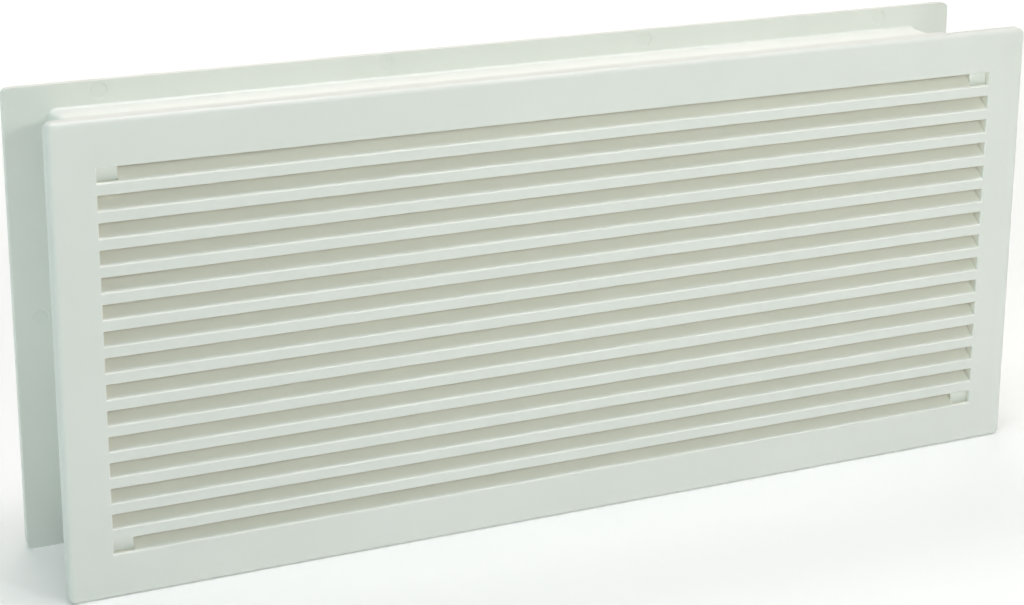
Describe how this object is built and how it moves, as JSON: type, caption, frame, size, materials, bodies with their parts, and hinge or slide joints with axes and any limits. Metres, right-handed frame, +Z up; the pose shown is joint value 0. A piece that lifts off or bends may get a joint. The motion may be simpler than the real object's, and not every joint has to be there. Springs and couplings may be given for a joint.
{
  "type": "door ventilation grille",
  "caption": "Two-part louvred door grille: flanged front and rear halves with sleeves that telescope through the door leaf, joined by corner screws.",
  "frame": {"origin": "centre of the part's footprint, at the bottom edge of the two flanges", "axes": "+X across the grille, -Y out of the front louvred face, +Z up; the door leaf lies between the flanges"},
  "size_m": [0.45, 0.0678, 0.197],
  "materials": {
    "front_white_plastic": "satin moulded white",
    "rear_white_plastic": "satin moulded white",
    "zinc_plated_steel": "zinc plated"
  },
  "bodies": {
    "front": {"front_half": "front_white_plastic"},
    "rear": {"rear_half": "rear_white_plastic", "screw_1": "zinc_plated_steel", "screw_2": "zinc_plated_steel", "screw_3": "zinc_plated_steel", "screw_4": "zinc_plated_steel"}
  },
  "joints": [
    {"name": "door_thickness_slide", "type": "slide", "parent": "front", "child": "rear", "axis": [0, 1, 0], "range_m": [-0.0158, 0.0022]}
  ]
}
